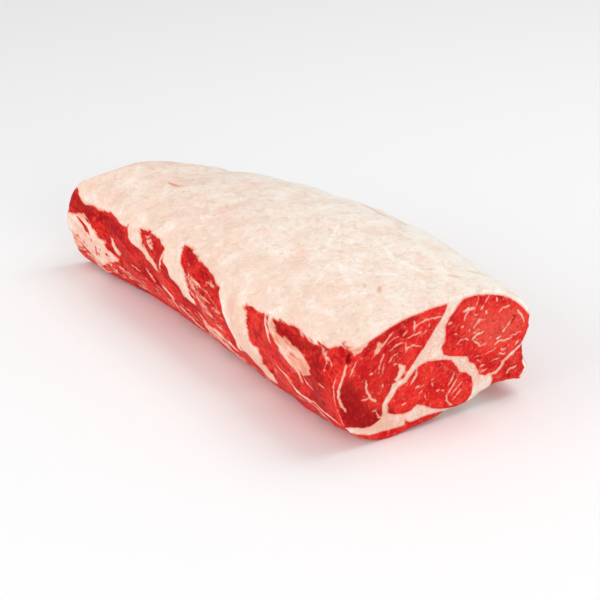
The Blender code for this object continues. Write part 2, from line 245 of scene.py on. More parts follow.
# Places where fat and lean lie in streaks: (how deep either goes, half width, points).
SIDE_STREAKS = (
    (1.3, 13.0, ((-203, 40), (-180, 36), (-150, 33))),
    (0.5, 10.0, ((-212, 10), (-150, 16), (-100, 18), (-60, 20), (0, 12), (60, 12), (110, 8))),
    (0.6, 7.0, ((-62, 34), (-30, 26), (0, 24), (35, 18))),
    (0.2, 9.0, ((-5, 62), (14, 52), (30, 40), (44, 30))),
    (0.7, 8.0, ((22, 66), (40, 56), (48, 40))),
    (0.9, 9.0, ((120, 30), (150, 22), (170, 14), (212, 12))),
    (2.0, 12.0, ((186, 74), (196, 50), (196, 30))),
    (0.9, 9.0, ((126, 64), (150, 54), (165, 40))),
    (2.4, 12.0, ((-135, 52), (-100, 44), (-75, 40))),
    (0.8, 5.0, ((-160, 28), (-125, 27), (-90, 29), (-62, 26))),
    (0.9, 4.0, ((-88, 67), (-78, 66), (-72, 62))),
)

# Dark spots in the fat of the left side: (along, up, radius).
SIDE_SPOTS = (
    (-193, 28, 1.1), (-177, 24, 1.5), (-167, 32, 1.4), (-159, 32, 1.5), (-168, 26, 1.4),
    (-189, 25, 1.0), (-171, 38, 1.1), (-83, 67, 1.0), (-77, 67, 1.1), (-150, 31, 1.2),
    (-184, 33, 0.9), (-184, 39, 1.0), (-205, 29, 1.1), (-163, 27, 1.2))

# ---- the cap seen from above, as (along, across): (tone, half width, points) --
CAP_MARKS = (
    (0.5, 11.0, ((39, -46), (62, -38), (69, -43))),
    (0.45, 14.0, ((-60, 62), (-15, 60), (40, 66), (90, 70))),
    (-0.22, 16.0, ((-32, -37), (-9, -42), (10, -30))),
    (-0.15, 20.0, ((-150, -50), (-110, -60), (-70, -45))),
    (-1.0, 1.9, ((-130, -35), (-125, -34), (-117, -32))),
    (-0.6, 1.2, ((-119, -18), (-122, -14))),
    (-0.5, 3.0, ((29, 60), (47, 58), (64, 58), (74, 63), (89, 62))),
    (-0.75, 2.2, ((171, -24), (176, -28))),
    (-0.5, 2.0, ((158, -29), (163, -32))),
    (-0.5, 3.0, ((187, 30), (192, 35))),
    (-0.45, 3.0, ((183, 52), (187, 58), (189, 64))),
    (1.0, 2.4, ((123, 16), (140, 10), (154, 11), (165, 13), (174, 15))),
    (1.0, 2.2, ((130, -22), (144, -20), (152, -15), (165, -4))),
    (0.9, 2.2, ((120, -25), (132, -31), (147, -35))),
    (0.8, 3.0, ((93, -21), (82, -7), (65, 11))),
    (1.0, 2.0, ((-47, -51), (-43, -52))),
    (1.0, 2.2, ((-11, -68), (-4, -70))),
)

# ---- the cut face, as (across, up) ------------------------------------------
FACE_FAT_LINES = (
    # seams between muscles
    (1.8, ((85, 46), (76, 41), (70, 37.5), (65, 34.5), (62.5, 30), (57.5, 27), (45, 27))),
    (0.9, ((21.5, 36), (16, 28.5), (10, 21), (9.5, 16.5), (16, 9.5))),
    (1.5, ((-85, 76), (-87, 66), (-89.5, 61), (-92, 55), (-92, 48.5), (-89, 41), (-84.5, 34.5))),
    (0.8, ((-94, 77), (-95, 68.5), (-97, 61), (-97, 51), (-96, 41.5), (-93, 34), (-89, 26),
           (-86, 22.5))),
    (0.9, ((-75.5, 74.5), (-79.5, 68), (-82, 62.5))),
    (1.2, ((68.5, 23), (72, 26), (78.5, 27))),
    # marbling of the eye
    (1.7, ((22.5, 88.5), (27.5, 89.5), (34, 88.5))),
    (0.7, ((34.5, 88.5), (37, 94.5), (37.5, 99.5))),
    (0.9, ((29.5, 89), (25, 85), (24, 81))),
    (1.1, ((43, 89.5), (39.5, 85.5))),
    (0.6, ((47.5, 96), (45, 92.5), (43, 89.5))),
    (1.1, ((55, 92.5), (55.5, 88.5))),
    (0.9, ((57.5, 79.5), (62, 82), (69, 82))),
    (1.1, ((76.5, 76.5), (82, 69.5), (84.5, 63.5))),
    (0.8, ((33, 71), (36, 74.5), (39, 77.5), (44.5, 76.5))),
    (0.9, ((62, 61), (67.5, 65), (72, 71))),
    (1.2, ((32, 62), (36.5, 65), (44.5, 66.5))),
    (0.8, ((33, 62), (38, 58), (40, 55), (45, 55))),
    (0.8, ((71, 55), (81, 56.5))),
    (1.0, ((55, 51.5), (59, 54), (66, 53), (73, 53.5))),
    (0.8, ((56, 56.5), (62, 57.5))),
    (0.7, ((17.5, 62.5), (21.5, 65), (26, 65), (29, 63))),
    (1.0, ((21, 75), (23.5, 77))),
    (0.5, ((45, 53.5), (48, 57), (52.5, 60))),
    (0.5, ((31.5, 65.5), (34.5, 68), (39.5, 69.5))),
    (0.8, ((41, 31.5), (49, 33))),
    (0.7, ((52, 38.5), (61, 39))),
    (0.7, ((38, 43.5), (41, 41.5))),
    (0.6, ((45.5, 46.5), (53.5, 47.5), (57.5, 49))),
    (0.8, ((61.5, 46), (67.5, 45.5))),
    (0.7, ((58.5, 43.5), (67, 41))),
    # marbling of the side muscle
    (0.9, ((3, 90), (-3, 90.5), (-14.5, 91.5))),
    (0.9, ((-12.5, 91.5), (-21.5, 89), (-23.5, 86.5))),
    (1.0, ((-23.5, 93), (-23.5, 82))),
    (0.6, ((-37.5, 85), (-43.5, 83.5), (-49, 80))),
    (0.9, ((-42.5, 90.5), (-51.5, 81.5), (-62.5, 72.5))),
    (0.9, ((-31.5, 78), (-39, 78), (-46, 74.5))),
    (0.9, ((-31.5, 78), (-31, 74.5), (-30.5, 69))),
    (0.8, ((-19, 71), (-25, 73.5), (-31.5, 72))),
    (0.8, ((-38.5, 70.5), (-43.5, 68.5), (-47, 64))),
    (0.8, ((-51, 74), (-54.5, 66), (-56, 59.5))),
    (1.2, ((-67, 56), (-66.5, 47), (-62, 39), (-57, 35))),
    (0.8, ((-71, 40.5), (-66.5, 40), (-63, 40.5))),
    (0.9, ((-61, 28.5), (-57, 27), (-55.5, 22), (-48, 17.5), (-44, 16.5))),
    (0.6, ((-50.5, 65.5), (-51.5, 61.5), (-52, 57))),
    (0.9, ((-30, 80.5), (-24, 81.5), (-17.5, 82.5))),
    (0.7, ((-15, 80), (-12, 82.5))),
    # marbling of the centre muscle
    (1.1, ((-19.5, 54.5), (-20.5, 47), (-25.5, 40.5))),
    (1.0, ((16.5, 39), (14, 33.5), (11, 29.5))),
    (0.9, ((15, 49), (19, 43.5))),
    (0.7, ((24.5, 29.5), (19, 24.5), (13.5, 20))),
    (0.5, ((27, 24), (20.5, 19.5), (15.5, 15))),
)
# Flecks of fat: (across, up, radius).
FACE_FLECKS = (
    (10.5, 82, 1.2), (44, 37, 1.3), (77.5, 47.5, 1.4), (35.5, 83, 1.0), (45.5, 82, 1.0),
    (16, 71.5, 0.8), (38.5, 46.5, 0.9), (29.5, 71.5, 0.7), (69.5, 47.5, 0.8), (-32, 85.5, 1.4),
    (-30.5, 51.5, 1.0), (-62.5, 60, 1.0), (-9.5, 86, 0.8), (-52, 47, 0.7), (-40.5, 62, 0.8),
    (-19, 36.5, 1.2), (-14, 36, 0.7), (-4.5, 34.5, 1.2), (5.5, 26.5, 1.0), (0.5, 28, 0.9),
    (-5, 39, 0.8), (-11, 26, 1.0), (-15, 31.5, 0.8), (-31, 25.5, 1.2))
FACE_HOLE = ((-81.5, 85), (-79, 79.5), (-81.5, 75), (-86, 74), (-86, 78), (-84.5, 83.5))
FACE_PATCHES = (
    ("fat", ((88, 31.5), (91.5, 28), (92.5, 21), (91, 16), (87, 14.5), (82.5, 15.5), (85.5, 19),
        (87.5, 23), (85, 29))),
    ("fat", ((-37.5, 61), (-36.5, 56), (-38, 52), (-41, 48.5), (-38, 46), (-34.5, 49.5), (-31, 54),
        (-31, 58.5), (-34, 60))),
    ("thin", ((-80, 83), (-78, 79), (-72.5, 81), (-67.5, 84.5), (-64.5, 87), (-71, 87))),
    ("thin", ((-60, 76.5), (-56.5, 85.5), (-53, 82), (-54.5, 77.5), (-58, 75))),
    ("lean", ((-29.5, 11), (-20, 4.5), (-25.5, 3), (-30.5, 7))),
    ("lean", FACE_HOLE),
)
FACE_TONES_AND_SHADE = (
    (-0.38, 6.0, ((-90, 20), (-60, 16), (-30, 10), (10, 8))),
    (-0.3, 5.0, ((24, 98), (20, 80), (12, 62), (0, 52))),
    (-0.4, 5.0, ((62, 33), (70, 27), (60, 16), (40, 12))),
    # painted shade in a small hole
    (-1.0, 3.0, ((71, 20.5), (71.5, 20))),
    (0.6, 5.0, ((66, 43), (72, 38), (78, 33))),
    (-0.6, 2.8, ((-70, 77), (-60, 85), (-53, 89), (-43, 92), (-34, 94.5), (-22, 95.5))),
    # painted shade in the deep hole
    (-1.0, 3.0, ((-83, 76), (-83, 83))),
    (-1.0, 14.0, ((-83, 52), (-80, 36), (-70, 26), (-50, 20))),
    (-0.35, 16.0, ((-70, 62), (-55, 40), (-40, 60), (-50, 80))),
    (-0.7, 3.5, ((-37, 88), (-33, 84))),
    (0.85, 17.0, ((35, 75), (55, 65), (72, 66))),
    (-0.25, 8.0, ((48, 40), (58, 34))),
    (-0.16, 16.0, ((-12, 45), (0, 30), (12, 40))),
    (-0.6, 2.5, ((70, 68), (74, 72))),
)


# ---- number helpers ---------------------------------------------------------
def linear(code):
    """Linear colour of an sRGB hex code such as "#F5E6D8"."""
    channels = [int(code[i:i + 2], 16) / 255.0 for i in (1, 3, 5)]
    return tuple(c / 12.92 if c <= 0.04045 else ((c + 0.055) / 1.055) ** 2.4 for c in channels)


def ease(t):
    """Rise smoothly from 0 to 1 as t does."""
    t = np.clip(t, 0.0, 1.0)
    return t * t * (3.0 - 2.0 * t)


def near_spots(points, outline, reach):
    """Numbers of the points within reach of the box round an outline, and those points."""
    low, high = outline.min(0) - reach, outline.max(0) + reach
    near = np.nonzero(((points > low) & (points < high)).all(1))[0]
    return near, points[near]


def to_segment(spots, a, b):
    """How far along the segment each spot lies, from 0 to 1, and how far from it."""
    run = b - a
    t = np.clip((spots - a) @ run / max(run @ run, TINY), 0.0, 1.0)
    return t, np.hypot(*(spots - a - t[:, None] * run).T)


def inside_of(spots, segments):
    """Which spots lie inside the closed outline that these segments make up."""
    inside = np.zeros(len(spots), bool)
    for a, b in segments:
        crosses = (a[1] > spots[:, 1]) != (b[1] > spots[:, 1])
        rise = b[1] - a[1] if b[1] != a[1] else TINY
        inside ^= crosses & (spots[:, 0] < a[0] + (spots[:, 1] - a[1]) * (b[0] - a[0]) / rise)
    return inside


def line_field(points, line, half_width, taper=0.4):
    """Distance into a drawn line, negative outside it; the line thins towards its ends."""
    line = np.array(line, float)
    field = np.full(len(points), -DEEP)
    near, spots = near_spots(points, line, DEEP + half_width)
    runs = np.hypot(*np.diff(line, axis=0).T)
    marks = np.concatenate(([0.0], np.cumsum(runs))) / max(runs.sum(), TINY)
    best = np.full(len(spots), -DEEP)
    for a, b, start, end in zip(line, line[1:], marks, marks[1:]):
        t, distance = to_segment(spots, a, b)
        place = start + (end - start) * t
        width = half_width * (taper + (1.0 - taper) * np.sin(math.pi * place) ** 0.5)
        best = np.maximum(best, width - distance)
    field[near] = best
    return field


def patch_field(points, corners):
    """Distance into a drawn patch, negative outside it."""
    corners = np.array(corners, float)
    segments = list(zip(corners, np.roll(corners, -1, axis=0)))
    field = np.full(len(points), -DEEP)
    near, spots = near_spots(points, corners, DEEP)
    distance = np.min([to_segment(spots, a, b)[1] for a, b in segments], axis=0)
    field[near] = np.where(inside_of(spots, segments), distance, -distance)
    return np.clip(field, -DEEP, DEEP)


def soft_line(flat, line, width, taper):
    """How much a soft-edged line covers, from 0 to 1."""
    return ease((line_field(flat, line, width, taper) + 0.3 * width) / (0.9 * width))


def soft_noise(points, size, seed):
    """Smooth noise from -1 to 1 over these points, its lumps about this many mm across."""
    lattice = np.random.default_rng(seed).uniform(-1.0, 1.0, (16, 16, 16))
    grid = points / np.asarray(size, float) + 5.37
    corner = np.floor(grid).astype(int)
    t = ease(grid - corner)
    total = np.zeros(len(points))
    for i in (0, 1):
        for j in (0, 1):
            for k in (0, 1):
                weight = ((t[:, 0] if i else 1.0 - t[:, 0]) * (t[:, 1] if j else 1.0 - t[:, 1])
                          * (t[:, 2] if k else 1.0 - t[:, 2]))
                total += weight * lattice[(corner[:, 0] + i) % 16, (corner[:, 1] + j) % 16,
                                          (corner[:, 2] + k) % 16]
    return total


# ---- how the solids meet ----------------------------------------------------
def key(point):
    """Whole-number name of a place, to a hundredth of a millimetre."""
    return tuple(int(round(c * 1e5)) for c in point)


def tree_of(spots):
    """A search tree of these places, by their order."""
    tree = KDTree(len(spots))
    for i, spot in enumerate(spots):
        tree.insert(spot, i)
    tree.balance()
    return tree


class Block:
    """The solids' shared borders: hairline gaps closed, inner walls and outlines known."""

    def __init__(self):
        corners, triangles = {}, {}
        for name in NODES:
            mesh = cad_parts[name].data
            corners[name] = {key(v.co): v.co.copy() for v in mesh.vertices}
            triangles[name] = [tuple(key(mesh.vertices[i].co) for i in p.vertices)
                               for p in mesh.polygons]
        self.moved = self.close_gaps(corners)
        count = {}
        for name in NODES:
            for triangle in triangles[name]:
                wall = frozenset(key(self.moved[name][c]) for c in triangle)
                count[wall] = count.get(wall, 0) + 1
        self.inner = {wall for wall, times in count.items() if times > 1}
        self.borders = None

    @staticmethod
    def close_gaps(corners):
        """Draw corners of different pieces that face each other across a gap together."""
        names = {name: list(corners[name]) for name in NODES}
        trees = {name: tree_of([corners[name][code] for code in names[name]]) for name in NODES}
        group = {(name, code): (name, code) for name in NODES for code in names[name]}

        def head(item):
            while group[item] != item:
                item = group[item]
            return item

        for a in NODES:
            for b in NODES[NODES.index(a) + 1:]:
                for code in names[a]:
                    _, i, gap = trees[b].find(corners[a][code])
                    if gap > GAP * MM:
                        continue
                    _, back, _ = trees[a].find(corners[b][names[b][i]])
                    if names[a][back] == code:
                        group[head((a, code))] = head((b, names[b][i]))
        members = {}
        for item in group:
            members.setdefault(head(item), []).append(item)
        moved = {name: {} for name in NODES}
        for items in members.values():
            middle = sum((corners[n][c] for n, c in items), Vector()) / len(items)
            for name, code in items:
                moved[name][code] = middle
        return moved


BLOCK = None


def block():
    """The one Block, worked out when it is first asked for."""
    global BLOCK
    if BLOCK is None:
        BLOCK = Block()
    return BLOCK


# ---- making one piece -------------------------------------------------------
def deselect_all():
    """Leave edit mode, with nothing selected."""
    if bpy.context.object and bpy.context.object.mode != "OBJECT":
        bpy.ops.object.mode_set(mode="OBJECT")
    bpy.ops.object.select_all(action="DESELECT")


def copy_of_node(node, name):
    """A merged copy of one solid, as a piece of its own."""
    deselect_all()
    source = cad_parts[node]
    source.hide_set(False)
    source.select_set(True)
    bpy.context.view_layer.objects.active = source
    bpy.ops.object.duplicate(linked=False)
    piece = bpy.context.object
    piece.name = piece.data.name = name
    for label in list(piece.keys()):
        del piece[label]
    piece.data.materials.clear()
    bpy.ops.object.mode_set(mode="EDIT")
    bpy.ops.mesh.select_all(action="SELECT")
    bpy.ops.mesh.remove_doubles(threshold=SAME * MM)
    bpy.ops.object.mode_set(mode="OBJECT")
    return piece


def end_gap(x, y, side):
    """How far a place in millimetres lies inside the near (1) or the far (-1) end."""
    return END - x if side > 0 else x - FAR_AT - FAR_SLANT * y


def at_end(element, side):
    """Whether all of an edge or a face lies in one end."""
    return all(abs(end_gap(v.co.x / MM, v.co.y / MM, side)) < ON_END for v in element.verts)


def fill_end(bm, side, spacing):
    """Close one end with an even net of triangles, its points about this many mm apart."""
    rim = [e for e in bm.edges if e.is_boundary and at_end(e, side)]
    long_ones = {}
    for edge in rim:
        cuts = int(math.ceil(edge.calc_length() / MM / spacing)) - 1
        if cuts > 0:
            long_ones.setdefault(cuts, []).append(edge)
    for cuts, edges in long_ones.items():
        bmesh.ops.subdivide_edges(bm, edges=edges, cuts=cuts)
    rim = [e for e in bm.edges if e.is_boundary and at_end(e, side)]
    verts = list(dict.fromkeys(v for e in rim for v in e.verts))
    index = {v: i for i, v in enumerate(verts)}
    flat = np.array([(v.co.y / MM, v.co.z / MM) for v in verts])
    lines = [(index[e.verts[0]], index[e.verts[1]]) for e in rim]

    low, high = flat.min(0), flat.max(0)
    rows = np.arange(low[1], high[1], spacing * TRIANGLE)
    net = np.array([(y + (0.5 * spacing if i % 2 else 0.0), z) for i, z in enumerate(rows)
                    for y in np.arange(low[0], high[0], spacing)])
    # The net is bent a little, to lie less evenly.
    net += 0.18 * spacing * np.stack([np.sin(net[:, 0] * 5.1 + net[:, 1] * 3.3),
                                      np.sin(net[:, 0] * 2.7 - net[:, 1] * 4.7)], 1)
    net = net[inside_of(net, [(flat[i], flat[j]) for i, j in lines])]
    tree = tree_of([(y, z, 0.0) for y, z in flat])
    net = np.array([p for p in net if tree.find((p[0], p[1], 0.0))[2] > 0.55 * spacing])
    spots = [Vector(p) for p in flat] + [Vector(p) for p in net.reshape(-1, 2)]
    points, _, faces, origins, _, _ = delaunay_2d_cdt(spots, lines, [], 1, 1e-6)
    made = []
    for point, origin in zip(points, origins):
        if origin and origin[0] < len(verts):
            made.append(verts[origin[0]])
        else:
            x = END if side > 0 else -end_gap(0.0, point.x, side)
            made.append(bm.verts.new((x * MM, point.x * MM, point.y * MM)))
    for face in faces:
        corners = [made[i] for i in face]
        if len(set(corners)) < 3:
            continue
        a, b, c = (v.co for v in corners[:3])
        if (b - a).cross(c - a).x * side < 0:
            corners.reverse()
        bm.faces.new(corners)


def refine(piece, node, shape):
    """Close the gaps, cut the skin of the piece finer and net its two ends."""
    moved = block().moved[node]
    bm = bmesh.new()
    bm.from_mesh(piece.data)
    for vert in bm.verts:
        vert.co = moved[key(vert.co)]
    bm.normal_update()
    inner = block().inner
    wall = bm.faces.layers.int.new("wall")
    ends, walls, edges = [], [], {}
    for face in bm.faces:
        if at_end(face, 1) or at_end(face, -1):
            ends.append(face)
        elif frozenset(key(v.co) for v in face.verts) in inner:
            face[wall] = 1
            walls.append(face)
        else:
            edges.update(dict.fromkeys(face.edges))
    bmesh.ops.delete(bm, geom=ends, context="FACES_ONLY")
    # A wall is cut too where it comes up to the skin, to stay under the relief there.
    outer = {v for e in edges for v in e.verts}
    for face in walls:
        if sum(v in outer for v in face.verts) > 1:
            edges.update(dict.fromkeys(face.edges))
    bmesh.ops.subdivide_edges(bm, edges=list(edges), cuts=shape.skin_cuts, use_grid_fill=True)
    fill_end(bm, 1, shape.near_net / MM)
    fill_end(bm, -1, shape.far_net / MM)
    bmesh.ops.poke(bm, faces=[f for f in bm.faces if len(f.verts) > 4])
    bm.normal_update()
    bm.to_mesh(piece.data)
    bm.free()


# ---- painted fields ---------------------------------------------------------
def border_trees():
    """Trees of places on the skin and the ends where fat meets lean, and of the outlines."""
    if block().borders:
        return block().borders
    lines, rim = {}, {}
    for name in NODES:
        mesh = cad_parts[name].data
        moved = block().moved[name]
        seen = {}
        for polygon in mesh.polygons:
            codes = [key(moved[key(mesh.vertices[i].co)]) for i in polygon.vertices]
            ends = [all(abs(end_gap(c[0] * SAME, c[1] * SAME, side)) < ON_END for c in codes)
                    for side in (1, -1)]
            kind = "wall" if frozenset(codes) in block().inner else "skin"
            kind = "end" if any(ends) else kind
            for a, b in zip(codes, codes[1:] + codes[:1]):
                seen.setdefault(frozenset((a, b)), set()).add(kind)
        for edge, kinds in seen.items():
            if "wall" in kinds and len(kinds) > 1:
                lines.setdefault(edge, set()).add(name in FAT_NODES)
            if "end" in kinds and "skin" in kinds:
                rim[edge] = True

    def tree_along(edges, step=0.6):
        spots = []
        for edge in edges:
            if len(edge) == 2:
                a, b = (np.array(c, float) * SAME for c in edge)
                for t in np.linspace(0.0, 1.0, 2 + int(np.linalg.norm(b - a) / step)):
                    spots.append(a + (b - a) * t)
        return tree_of(spots)

    mixed = [edge for edge, classes in lines.items() if len(classes) > 1]
    block().borders = tree_along(mixed), tree_along(rim)
    return block().borders


def read(items, label, width, kind=float):
    """Values of one property of many mesh items, one row each."""
    values = np.zeros(len(items) * width, np.float32 if kind is float else np.int32)
    items.foreach_get(label, values)
    return values.reshape(-1, width).astype(kind)


def distances(tree, points, reach):
    """How far each point is from the nearest place in the tree, at most reach."""
    return np.array([min(tree.find(p)[2], reach) for p in points])


def draw_patches(fat, flat, patches, thin):
    """Draw patches of fat, thin fat and lean over the fat distance, one after another."""
    for kind, corners in patches:
        field = patch_field(flat, corners)
        if kind == "lean":
            fat = np.minimum(fat, -field)
        else:
            fat = np.maximum(fat, np.minimum(field, thin) if kind == "thin" else field)
    return fat


def tones(flat, lines):
    """Tone from soft-edged lines of dark and pale lean; some of the dark lines are painted shade.
    """
    tone = np.zeros(len(flat))
    for value, width, line in lines:
        tone += (value - tone) * soft_line(flat, line, width, 0.8)
    return tone


def paint_left(points):
    """Fat distance and tone on the left side; the tone holds painted shade under the cap's edge.
    """
    flat = points[:, [0, 2]]
    flat = flat + 0.9 * np.stack([soft_noise(points, 9.0, 3), soft_noise(points, 9.0, 4)], 1)
    fat = draw_patches(np.full(len(points), -DEEP), flat, LEFT_PATCHES, SIDE_THIN)
    for width, line in SIDE_FAT_LINES:
        fat = np.maximum(fat, line_field(flat, line, width))
    for width, line in SIDE_LEAN_LINES:
        fat = np.minimum(fat, -line_field(flat, line, width))
    for along, up, radius in SIDE_SPOTS:
        fat = np.minimum(fat, np.hypot(flat[:, 0] - along, flat[:, 1] - up) - radius)
    for depth, width, line in SIDE_STREAKS:
        fat += (np.clip(fat, -depth, depth) - fat) * soft_line(flat, line, width, 0.7)
    return fat, tones(flat, SIDE_TONES_AND_SHADE)


def paint_face(flat, fat):
    """Fat distance and tone on a cut face, from the fat distance of its layers; the tone holds
    painted shade in two holes.
    """
    flat = flat + 0.25 * np.stack([np.sin(flat[:, 1] * 1.3), np.sin(flat[:, 0] * 1.1)], 1)
    uneven = 0.5 * np.abs(soft_noise(np.column_stack([flat, 0.0 * flat[:, 0]]), 2.6, 31))
    for width, line in FACE_FAT_LINES:
        fat = np.maximum(fat, line_field(flat, line, 0.88 * width) - uneven)
    for across, up, radius in FACE_FLECKS:
        # each fleck is an oval, turned its own way
        turn = 0.9 + math.sin(across * 1.7 + up)
        along = (flat[:, 0] - across) * math.cos(turn) + (flat[:, 1] - up) * math.sin(turn)
        aside = (flat[:, 1] - up) * math.cos(turn) - (flat[:, 0] - across) * math.sin(turn)
        fat = np.maximum(fat, 0.75 * radius - np.hypot(along * 0.45, aside * 1.1))
    return draw_patches(fat, flat, FACE_PATCHES, FACE_THIN), tones(flat, FACE_TONES_AND_SHADE)


def on_skin(mesh):
    """Which points of the mesh belong to a face that shows."""
    shows = read(mesh.attributes["wall"].data, "value", 1, int)[:, 0] == 0
    sides = read(mesh.polygons, "loop_total", 1, int)[:, 0]
    points = read(mesh.loops, "vertex_index", 1, int)[:, 0]
    found = np.zeros(len(mesh.vertices), bool)
    found[points[np.repeat(shows, sides)]] = True
    return found


def paint_skin(place, layer, to_end, far_gap):
    """Fat distance and tone on the skin.

    The left side is drawn. The right side and the underside keep the layers' own borders,
    made wavy, with thin skin fat strewn over them."""
    left_weight = ease((-place[:, 1] - 55.0) / 15.0)
    left_fat, left_tone = paint_left(place)
    wavy = 8.0 * soft_noise(place, (26.0, 18.0, 14.0), 14) + 3.0 * soft_noise(place, 9.0, 15)
    strewn = soft_noise(place, (34.0, 7.0, 6.0), 11)
    strewn += 0.6 * soft_noise(place, (15.0, 3.5, 3.0), 12)
    other = np.maximum(layer + wavy * ease(to_end / 12.0), 5.0 * (strewn - 0.62))
    fat = other + (left_fat - other) * left_weight
    fat[place[:, 2] > ALL_CAP] = DEEP
    # The far end is lower, and the cap is whole there from 87 mm up.
    fat += (DEEP - fat) * ease((place[:, 2] - 82.0) / 5.0) * ease((110.0 - far_gap) / 50.0)
    tone = left_tone * left_weight + (1.0 - left_weight) * 0.6 * soft_noise(place, 26.0, 13)
    above = ease((place[:, 2] - 84.0) / 8.0)
    return fat, tone + (tones(place[:, :2], CAP_MARKS) - tone) * above


def skin_relief(place, fat, depth, shape):
    """How far each point of the skin stands out: raised fat, lumps, and more of them low down.

    A point at some depth inside the block stays a little lower."""
    raised = shape.fat_rise / MM * (ease(0.5 + fat / 5.0) - 0.5) - 0.5 * ease(depth / 2.0)
    lump = shape.lump / MM
    lumps = (soft_noise(place, (22.0, 14.0, 12.0), 21) * 0.7
             + soft_noise(place, (9.0, 5.0, 5.0), 22) * 0.35) * lump
    on_top = ease((place[:, 2] - 80.0) / 15.0)
    low = ease((24.0 - place[:, 2]) / 18.0)
    knobs = 0.55 * low * soft_noise(place, (4.5, 4.0, 4.0), 24) * lump
    return raised + lumps * (1.0 - 0.65 * on_top + 0.8 * low) + knobs


def way_out(place):
    """The way out of the block at each place, level near the floor."""
    across, up = place[:, 1] / HALF_WIDTH, (place[:, 2] - MIDDLE) / HALF_HEIGHT
    way = np.stack([np.zeros(len(place)), across * np.abs(across) / HALF_WIDTH,
                    up * np.abs(up) / HALF_HEIGHT], 1)
    way /= np.maximum(np.linalg.norm(way, axis=1), 1e-6)[:, None]
    way[:, 2] *= ease((place[:, 2] - 2.0) / 14.0)
    return way


def dress(piece, node, shape):
    """Work out the painted attributes of the piece and its relief, and set both."""
    mesh = piece.data
    place = read(mesh.vertices, "co", 3) / MM
    border_tree, rim_tree = border_trees()
    layer = distances(border_tree, place, DEEP) * (1.0 if node in FAT_NODES else -1.0)
    near_gap, far_gap = (end_gap(place[:, 0], place[:, 1], side) for side in (1, -1))
    near, far, to_end = near_gap < ON_END, far_gap < ON_END, np.minimum(near_gap, far_gap)
    cut = near | far
    from_rim = np.zeros(len(place))
    from_rim[cut] = distances(rim_tree, place[cut], 30.0)

    skin_fat, tone = paint_skin(place, layer, to_end, far_gap)
    fat = skin_fat.copy()
    flat = place[:, 1:].copy()
    fat[near], tone[near] = paint_face(flat[near], layer[near])
    spread = (flat[far] - FAR_LOW) / np.subtract(FAR_HIGH, FAR_LOW)
    drawn = FACE_LOW + spread * np.subtract(FACE_HIGH, FACE_LOW)
    fat[far], tone[far] = paint_face(drawn, layer[far])

    # The skin moves out of the block, less and less so on the cut faces, and its edges at
    # the cuts are worn. Points inside the block follow the lean.
    rounding = shape.edge_round / MM
    buried = ~on_skin(mesh)
    depth = np.where(buried, np.abs(layer), 0.0)
    skin = skin_relief(place, np.where(buried, -depth, skin_fat), depth, shape)
    skin *= np.where(cut, np.exp(-from_rim / 3.0), 1.0)
    skin -= rounding * np.exp(-(to_end + from_rim) / 2.5)
    place += way_out(place) * skin[:, None]
    corner = np.linalg.norm((place - FAR_CORNER) / (26.0, 40.0, 36.0), axis=1)
    place += np.outer(1.0 - ease(corner), FAR_CORNER_PUSH)

    # The cut faces move along the block: lean swells, edges are worn, and one hole is deep.
    swell = (1.0 - ease(0.5 + fat / 3.0)) * shape.lean_rise / MM
    swell += 0.35 * soft_noise(np.column_stack([np.zeros(len(flat)), flat]), 6.0, 23)
    swell -= 1.6 * rounding * np.exp(-from_rim / 1.8)
    swell -= 3.0 * ease((patch_field(flat, FACE_HOLE) + 0.5) / 2.5) * near
    place[:, 0] += np.where(near, swell, np.where(far, -swell, 0.0))

    mesh.vertices.foreach_set("co", (place * MM).ravel())
    seam = cut * ease((from_rim - 3.0) / 8.0)
    for label, values in (("fat", np.clip(fat, -DEEP, DEEP)), ("tone", tone), ("cut", cut),
                          ("seam", seam)):
        attribute = mesh.attributes.new(label, "FLOAT", "POINT")
        attribute.data.foreach_set("value", values.astype(np.float32))
    mesh.update()


def make_piece(node, name, material, shape):
    """One finished piece over one solid."""
    piece = copy_of_node(node, name)
    refine(piece, node, shape)
    dress(piece, node, shape)
    piece.data.materials.append(material)
    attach(piece, "root")
    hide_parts(node)
    return piece


def share_normals(pieces):
    """Give every place on the skin one normal, the same in all the pieces that meet there."""
    places, sums, own = [], [], []
    for piece in pieces:
        mesh = piece.data
        mesh.calc_loop_triangles()
        place = read(mesh.vertices, "co", 3)
        corners = read(mesh.loop_triangles, "vertices", 3, int)
        faces = read(mesh.loop_triangles, "polygon_index", 1, int)[:, 0]
        skin = read(mesh.attributes["wall"].data, "value", 1, int)[faces, 0] == 0
        corners = corners[skin]
        a, b, c = (place[corners[:, i]] for i in range(3))
        total = np.zeros_like(place)
        for i in range(3):
            np.add.at(total, corners[:, i], np.cross(b - a, c - a))
        places.append(np.round(place / (SAME * MM)).astype(np.int64))
        sums.append(total)
        own.append(read(mesh.vertices, "normal", 3))
    _, index = np.unique(np.vstack(places), axis=0, return_inverse=True)
    shared = np.zeros((index.max() + 1, 3))
    np.add.at(shared, index.ravel(), np.vstack(sums))
    shared = shared[index.ravel()]
    length = np.linalg.norm(shared, axis=1)[:, None]
    shared = np.where(length > 0.0, shared / np.maximum(length, 1e-30), np.vstack(own))
    start = 0
    for piece in pieces:
        mesh = piece.data
        end = start + len(mesh.vertices)
        mesh.attributes.remove(mesh.attributes["wall"])
        mesh.shade_smooth()
        mesh.normals_split_custom_set_from_vertices(shared[start:end].tolist())
        start = end


# ---- materials --------------------------------------------------------------
def add_node(tree, kind, inputs=None, **settings):
    """Add one node, with its settings and its inputs' values or links."""
    node = tree.nodes.new(kind)
    for label, value in settings.items():
        setattr(node, label, value)
    for label, value in (inputs or {}).items():
        socket = node.inputs[label]
        if isinstance(value, bpy.types.NodeSocket):
            tree.links.new(value, socket)
        elif hasattr(value, "__len__") and len(value) == 3 and len(socket.default_value) == 4:
            socket.default_value = (*value, 1.0)
        else:
            socket.default_value = value
    return node


